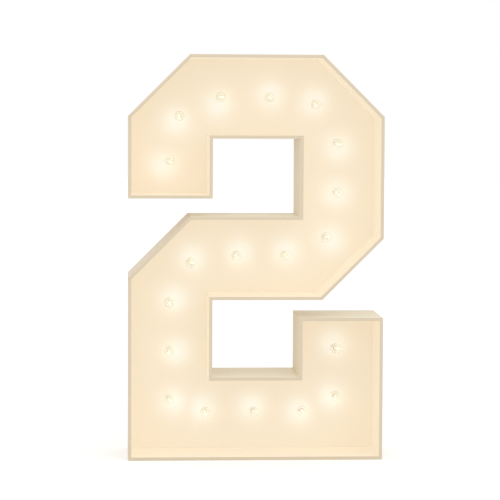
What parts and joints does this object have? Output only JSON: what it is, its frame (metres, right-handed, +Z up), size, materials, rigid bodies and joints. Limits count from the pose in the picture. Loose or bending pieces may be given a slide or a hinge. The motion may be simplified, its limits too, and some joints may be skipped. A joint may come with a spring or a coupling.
{
  "type": "light up marquee number",
  "caption": "Free-standing light up figure two: mitred board walls round an inset panel with clear round bulbs, wired behind to a battery case with a sliding cover and switch.",
  "frame": {"origin": "centre of the base on the floor", "axes": "+Z up, the open lit front faces -Y, +X to the right seen from the front"},
  "size_m": [0.768, 0.254, 1.219],
  "materials": {
    "painted_board": "smooth satin cream paint on board",
    "panel_face": "smooth matte white paint on board, warm under its lamps",
    "clear_glass": "clear blown glass",
    "lit_filament": "glowing warm white rod",
    "cap_brass": "pressed satin brass",
    "holder_white": "moulded satin white",
    "pin_brass": "drawn brass",
    "cable_white": "soft smooth white sheath",
    "pad_foam": "closed-cell foam pad",
    "case_white": "moulded fine-textured white",
    "contact_steel": "plated spring steel",
    "lead_red": "smooth red sheath",
    "switch_black": "moulded black",
    "cell_jacket": "plain printed jacket, bare of marks"
  },
  "bodies": {
    "figure": {"top_wall": "painted_board", "upper_right_corner_wall": "painted_board", "upper_right_wall": "painted_board", "waist_right_corner_wall": "painted_board", "waist_underside_wall": "painted_board", "lower_counter_left_wall": "painted_board", "lower_counter_floor_wall": "painted_board", "lower_counter_right_wall": "painted_board", "lower_terminal_top_wall": "painted_board", "lower_right_wall": "painted_board", "base_wall": "painted_board", "lower_left_wall": "painted_board", "waist_left_corner_wall": "painted_board", "waist_top_wall": "painted_board", "upper_counter_right_wall": "painted_board", "upper_counter_top_wall": "painted_board", "upper_terminal_right_wall": "painted_board", "upper_terminal_bottom_wall": "painted_board", "upper_left_wall": "painted_board", "upper_left_corner_wall": "painted_board", "light_panel": "panel_face", "bulb_globes": "clear_glass", "bulb_filaments": "lit_filament", "bulb_caps": "cap_brass", "lampholders": "holder_white", "lampholder_nuts": "holder_white", "lampholder_covers": "holder_white", "lampholder_pins": "pin_brass", "lamp_cable": "cable_white", "cable_end_cap": "holder_white", "battery_pad": "pad_foam", "battery_case": "case_white", "battery_contacts": "contact_steel", "battery_lead": "lead_red", "switch_lid": "case_white", "switch_body": "switch_black", "battery_cell_1": "cell_jacket", "battery_cell_2": "cell_jacket", "battery_cell_3": "cell_jacket"},
    "battery_cover": {"battery_cover": "case_white"},
    "switch_knob": {"switch_knob": "switch_black"}
  },
  "joints": [
    {"name": "battery_cover_slide", "type": "slide", "parent": "figure", "child": "battery_cover", "axis": [1, 0, 0], "range_m": [0, 0.048]},
    {"name": "switch_slide", "type": "slide", "parent": "figure", "child": "switch_knob", "axis": [-1, 0, 0], "range_m": [0, 0.004]}
  ]
}
